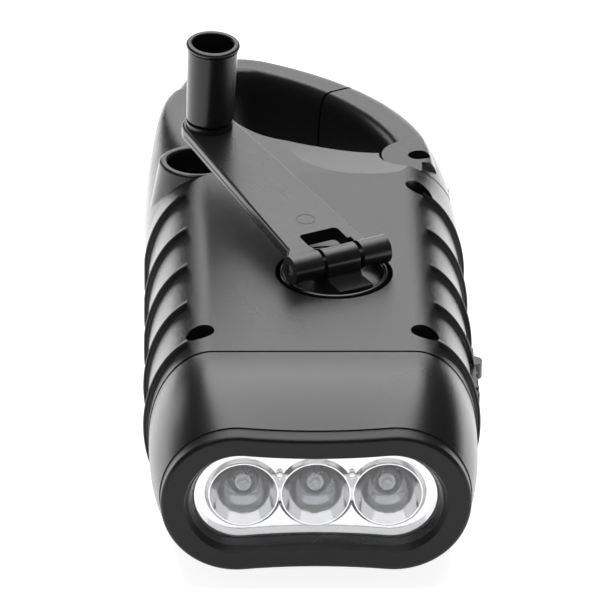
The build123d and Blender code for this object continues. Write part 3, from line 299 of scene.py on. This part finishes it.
NODE_MATERIALS = {
    "top_housing": SHELL,
    "bottom_housing": SHELL,
    "front_cap": SHELL,
    "bezel_ring": BEZEL_BLACK,
    "lens_window": CLEAR,
    "reflector": CHROME,
    "leds": SHADE_TINTED_RESIN,
    "led_board": LAMP_BOARD,
    "led_board_screws": STEEL,
    "circuit_board": BOARD,
    "switch_body": SMOOTH,
    "switch_slider": SHELL,
    "battery_cells": NICKEL,
    "battery_holder": SHELL,
    "gear_plate": ACETAL,
    "gear_axles": STEEL,
    "crank_gear": ACETAL,
    "first_idler": ACETAL,
    "second_idler": ACETAL,
    "rotor_pinion": ACETAL,
    "rotor_shaft": STEEL,
    "rotor_magnet": FERRITE,
    "stator_cup": STEEL,
    "stator_cover": STEEL,
    "coil_bobbin": SHELL,
    "stator_coil": COPPER,
    "housing_screws": STEEL,
    "crank_hub": SMOOTH,
    "hub_washer": STEEL,
    "hub_screw": STEEL,
    "hinge_pin": STEEL,
    "crank_arm": ARM_BLACK,
    "knob_axle": STEEL,
    "knob": KNOB_BLACK,
    "gate": SHELL,
    "gate_screw": STEEL,
    "gate_spring": STEEL,
}


def dress_nodes():
    """Gives every carried-over node its material."""
    for name, material in NODE_MATERIALS.items():
        slots = nodes[name].data.materials
        slots.clear()
        slots.append(material)


# ---------------------------------------------------------------- making pieces, in millimetres
def add_piece(name, data, material, body):
    """A new piece that rides on a body, with its material."""
    data.materials.append(material)
    piece = add_object(name, data)
    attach(piece, body)
    return piece


def add_beads(name, lines, radius, material, body, closed=False, taper=0.35):
    """Thin round beads along lines of points, narrowed at open ends."""
    curve = bpy.data.curves.new(name, "CURVE")
    curve.dimensions = "3D"
    curve.bevel_depth = radius * MM
    curve.bevel_resolution = 2
    curve.use_fill_caps = not closed
    for points in lines:
        spline = curve.splines.new("POLY")
        spline.points.add(len(points) - 1)
        for spot, place in zip(spline.points, points):
            spot.co = (*(Vector(place) * MM), 1)
        spline.use_cyclic_u = closed
        if not closed:
            spline.points[0].radius = taper
            spline.points[-1].radius = taper
    return add_piece(name, curve, material, body)


def ring_of(build, centre, radius, along, steps):
    """The vertices of one ring about a line along Y, or one vertex where its radius is 0."""
    x, y, z = centre
    if radius == 0:
        return [build.verts.new(Vector((x, y + along, z)) * MM)]
    turns = [2 * pi * k / steps for k in range(steps)]
    spots = [Vector((x + radius * cos(t), y + along, z + radius * sin(t))) for t in turns]
    return [build.verts.new(spot * MM) for spot in spots]


def spun(name, profile, places, material, body, steps=32):
    """Pieces turned about lines along Y, from (radius, y) pairs."""
    mesh = bpy.data.meshes.new(name)
    build = bmesh.new()
    for centre in places:
        rings = [ring_of(build, centre, radius, along, steps) for radius, along in profile]
        for one, two in zip(rings, rings[1:]):
            for k in range(steps):
                n = (k + 1) % steps
                corners = [one[k % len(one)], one[n % len(one)], two[n % len(two)], two[k % len(two)]]
                build.faces.new(list(dict.fromkeys(corners)))
    bmesh.ops.recalc_face_normals(build, faces=build.faces)
    build.to_mesh(mesh)
    build.free()
    for face in mesh.polygons:
        face.use_smooth = True
    return add_piece(name, mesh, material, body)


# ---------------------------------------------------------------- the rear half's outline, in millimetres
# How far the real outline stands outside the solids behind the crank. It was set by comparing the
# photograph with the solids' outline: direction from the middle of the rear half in degrees, reach
# of the solids' outline, and the growth.
MIDDLE = Vector((0.0, 45.0))
OUTLINE = [
    (-60, 50.0, 0.0), (-45, 39.0, 0.0), (-30, 32.6, 0.1), (-20, 29.6, 0.25), (-10, 27.6, 0.6),
    (0, 26.5, 1.0), (10, 25.6, 1.3), (20, 24.9, 1.45), (30, 24.6, 1.65), (40, 25.7, 1.85),
    (50, 27.6, 2.0), (60, 30.0, 2.1), (70, 33.2, 2.0), (80, 37.3, 1.75), (90, 42.2, 1.4),
    (100, 47.0, 0.9), (110, 46.5, 1.0), (120, 42.1, 1.25), (130, 37.0, 1.25), (140, 32.7, 1.15),
    (150, 29.8, 1.1), (160, 28.2, 1.1), (170, 27.4, 0.9), (180, 27.2, 0.65), (190, 27.3, 0.45),
    (200, 28.3, 0.2), (210, 30.8, 0.0), (300, 80.0, 0.0),
]
FIRST_TURN = OUTLINE[0][0]
FRONT_Y = -10.0            # nothing in front of this grows
CORE = 10.0                # nor does anything this near the middle
BAND = 8.0                 # the growth fades out this far inside the outline
REAR_Y = 91.45             # what grows stays in front of this, just short of the solids' rear end
REAR_EASE = 0.95           # and is eased in over this length
LEFT_X = -28.6             # what grows stays to the right of this, the solids' left end


def grown(place, spare=0.0):
    """A place of the rear half moved out to the real outline, at least spare away from LEFT_X."""
    x, y, z = place
    reach = hypot(x - MIDDLE.x, y - MIDDLE.y)
    if y < FRONT_Y or reach < CORE:
        return Vector(place)
    turn = (degrees(atan2(y - MIDDLE.y, x - MIDDLE.x)) - FIRST_TURN) % 360 + FIRST_TURN
    for (one, near, small), (two, far, large) in zip(OUTLINE, OUTLINE[1:]):
        if one <= turn <= two:
            share = (turn - one) / (two - one)
            limit = near + (far - near) * share
            growth = small + (large - small) * share
            inside = min(max((reach - limit) / BAND + 1, 0), 1)
            scale = 1 + growth * inside**2 / reach
            x = MIDDLE.x + (x - MIDDLE.x) * scale
            y = MIDDLE.y + (y - MIDDLE.y) * scale
            break
    bend = REAR_Y - REAR_EASE
    if y > bend:
        y = bend + REAR_EASE * tanh((y - bend) / REAR_EASE)
    return Vector((max(x, LEFT_X + spare), y, z))


def grow_node(node, name, body, material):
    """A copy of a node whose rear half has the real outline; it replaces the node."""
    mesh = nodes[node].data.copy()
    mesh.name = name
    for vertex in mesh.vertices:
        vertex.co = grown(vertex.co / MM) * MM
    mesh.materials.clear()
    piece = add_piece(name, mesh, material, body)
    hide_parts(node)


# ---------------------------------------------------------------- ribs, in millimetres
MID_Z = 16.5               # half the body's height
HALF_WIDTH = 27.8
SIDE_ROUND = 10.9          # half the width of the ellipse that rounds each flank
FIRST_RIB_Y = -26.4
RIB_PITCH = 14.2
RIB_COUNT = 5
RIB_PROUD = 0.8
RIB_TOP_X = HALF_WIDTH - 6.6   # where the ribs end on the top and the underside
CREST_INSET = 0.12         # how deep the beads' lines lie in the ribs
CREST_RADIUS = 0.24
CREST_SHIFT = 0.14         # how far behind the ribs' middles they lie
CREST_STEPS = 28           # from a rib's end to the flank's widest place


def rib_beads():
    """The rounded crests of the gill ribs, which catch the light."""
    across = SIDE_ROUND + RIB_PROUD - CREST_INSET
    high = MID_Z + RIB_PROUD - CREST_INSET
    flat = HALF_WIDTH - SIDE_ROUND
    first = acos((RIB_TOP_X - flat) / across)
    lines = []
    for y in [FIRST_RIB_Y + RIB_PITCH * i for i in range(RIB_COUNT)]:
        for side in (1, -1):
            for part in (1, -1):
                turns = [first * part * (1 - k / CREST_STEPS) for k in range(CREST_STEPS + 1)]
                crest = [(side * (flat + across * cos(t)), y + CREST_SHIFT, MID_Z + high * sin(t))
                         for t in turns]
                lines.append([grown(place, CREST_RADIUS) for place in crest])
    add_beads("rib_crests", lines, CREST_RADIUS, SHELL, "housing", taper=1.0)


# ---------------------------------------------------------------- crank arm, in millimetres
HINGE_SPOT = Vector(joints["arm_fold"]["pos_m"]) / MM
KNOB_SPOT = Vector(joints["knob_spin"]["pos_m"]) / MM
ACROSS = Vector(joints["arm_fold"]["axis"])
ARM_UP = Vector(joints["knob_spin"]["axis"])
ARM_LENGTH = (KNOB_SPOT - HINGE_SPOT).length
ALONG = (KNOB_SPOT - HINGE_SPOT).normalized()
PARTING_STARTS = [(-8.02, 4.0), (6.22, 3.2)]   # across and along, by the hinge
PARTING_TIP = 4.93         # half the arm's width at the knob
PARTING_UP = 0.75
PARTING_RADIUS = 0.14
MARK_ACROSS = -0.3
MARK_ALONG = 11.2
MARK_UP = 2.1
MARK_RADIUS = 1.6
MARK_BEAD_RADIUS = 0.05
MARK_STEPS = 40


def on_arm(across, along, up):
    """A place on the open crank arm, from the hinge's axis."""
    return HINGE_SPOT + ACROSS * across + ALONG * along + ARM_UP * up


def arm_marks():
    """The arm's parting line along both edges, and the round moulding mark on its top."""
    tips = [(-PARTING_TIP, ARM_LENGTH), (PARTING_TIP, ARM_LENGTH)]
    lines = [[on_arm(*start, PARTING_UP), on_arm(*tip, PARTING_UP)]
             for start, tip in zip(PARTING_STARTS, tips)]
    add_beads("arm_parting_line", lines, PARTING_RADIUS, KNOB_BLACK, "arm")
    turns = [2 * pi * k / MARK_STEPS for k in range(MARK_STEPS)]
    ring = [on_arm(MARK_ACROSS + MARK_RADIUS * cos(t), MARK_ALONG + MARK_RADIUS * sin(t), MARK_UP)
            for t in turns]
    add_beads("arm_moulding_mark", [ring], MARK_BEAD_RADIUS, KNOB_BLACK, "arm", closed=True)


# ---------------------------------------------------------------- lamps, in millimetres
RIM_Y = -50.0              # front of the cups' rims
CUP_PITCH = 12.0
LED_BASE_Y = RIM_Y + 10.9
PEG_Y = RIM_Y + 0.8        # pegs stand in the gaps above the places where two cups meet
PEG_Z = MID_Z + 3.6
# radius and y, from front to back: a small cup on a post, and a peg with a chamfered front
LEAD_FRAME = [
    (0, -6.3), (0.35, -6.3), (0.75, -6.7), (1.0, -6.7),
    (1.0, -5.2), (0.45, -4.6), (0.45, -0.6), (0, -0.6),
]
PEG = [(0, -0.9), (0.35, -0.9), (0.6, -0.6), (0.6, 0.2), (0, 0.2)]


def lamp_details():
    """The lead frames in the clear lamps, and the two pegs between the cups."""
    lamps = [(x, LED_BASE_Y, MID_Z) for x in (-CUP_PITCH, 0, CUP_PITCH)]
    spun("led_frames", LEAD_FRAME, lamps, STEEL, "housing")
    pegs = [(x, PEG_Y, PEG_Z) for x in (-CUP_PITCH / 2, CUP_PITCH / 2)]
    spun("plate_pegs", PEG, pegs, CHROME, "housing")


# ---------------------------------------------------------------- the scene
add_camera()
set_world(dim=0.02, fill=0.25)
add_floor(glow=0.88, near=0.8, far=1.7)
add_softbox("ceiling_box", (0.0, 0.5, 0.9), (0.0, 0.5, 0.0), width=0.75, height=1.6, watts=16.5)
add_softbox("back_box", (0.0, 1.6, 0.5), (0.0, 0.0, 0.3), width=1.1, height=1.0, watts=6.0)
add_softbox("left_box", (-1.0, 0.9, 0.25), (0.0, 0.0, 0.02), width=0.35, height=0.5, watts=1.5)
dress_nodes()

grow_node("top_housing", "top_shell", "housing", SHELL)
grow_node("bottom_housing", "bottom_shell", "housing", SHELL)
grow_node("gate", "gate_shell", "latch", SHELL)
rib_beads()
arm_marks()
lamp_details()

bpy.context.scene.view_settings.view_transform = "Standard"
